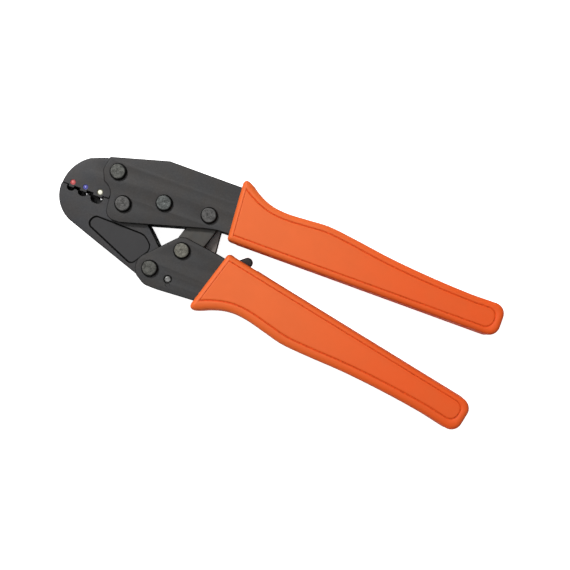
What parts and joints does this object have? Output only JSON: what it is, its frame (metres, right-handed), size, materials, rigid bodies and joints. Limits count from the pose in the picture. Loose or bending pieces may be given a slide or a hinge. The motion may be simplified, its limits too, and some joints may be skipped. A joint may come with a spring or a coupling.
{
  "type": "ratcheting crimping pliers",
  "caption": "Ratcheting hand crimping pliers with curved jaws, round die nests, a riveted toggle linkage, a release lever and moulded sleeve grips.",
  "frame": {"origin": "foot of the jaw pivot's axis, on the rear rivet heads' faces, which the tool lies on", "axes": "+X from the jaws to the grips along the dies' parting plane, +Y towards the upper handle, +Z the tool's thickness, out of its front face"},
  "size_m": [0.2143, 0.0764, 0.0216],
  "materials": {
    "oxide_steel": "black oxide, satin",
    "jaw_steel": "black oxide, satin",
    "rivet_steel": "scuffed black oxide",
    "bright_steel": "bright",
    "grip_plastic": "satin moulded orange plastic"
  },
  "bodies": {
    "frame": {"frame_plate_front": "oxide_steel", "frame_plate_rear": "oxide_steel", "fixed_jaw": "jaw_steel", "fixed_jaw_rivet_front": "rivet_steel", "fixed_jaw_rivet_rear": "rivet_steel", "jaw_pivot_rivet": "rivet_steel", "link_pivot_rivet": "rivet_steel", "upper_grip": "grip_plastic", "upper_tang_standoff": "rivet_steel"},
    "jaw": {"moving_jaw": "jaw_steel"},
    "link": {"link_plate_front": "oxide_steel", "link_plate_rear": "oxide_steel", "ratchet_plate": "oxide_steel"},
    "handle": {"handle_plate_front": "oxide_steel", "handle_plate_rear": "oxide_steel", "handle_pivot_rivet": "rivet_steel", "toggle_rivet": "rivet_steel", "spring_anchor_pin": "bright_steel", "pawl_pivot_pin": "bright_steel", "lower_grip": "grip_plastic", "lower_tang_standoff": "rivet_steel", "pawl_spring": "bright_steel"},
    "pawl": {"pawl_release_lever": "oxide_steel"}
  },
  "joints": [
    {"name": "link_swing", "type": "hinge", "parent": "frame", "child": "link", "pos_m": [0.0393, 0.0085, 0.0108], "axis": [0, 0, 1], "range_deg": [0, 27.5]},
    {"name": "handle_opening", "type": "hinge", "parent": "link", "child": "handle", "pos_m": [0.033, -0.0111, 0.0108], "axis": [0, 0, -1], "range_deg": [0, 55]},
    {"name": "jaw_opening", "type": "hinge", "parent": "frame", "child": "jaw", "pos_m": [0, 0, 0.0108], "axis": [0, 0, 1], "range_deg": [0, 12.93]},
    {"name": "lever_press", "type": "hinge", "parent": "handle", "child": "pawl", "pos_m": [0.0547, -0.0139, 0.0108], "axis": [0, 0, -1], "range_deg": [0, 12], "stiffness_Nm_per_rad": 0.05}
  ],
  "couplings": [
    {"joint": "link_swing", "follows": "handle_opening", "ratio": 0.5},
    {"joint": "jaw_opening", "follows": "handle_opening", "ratio": 0.235}
  ]
}
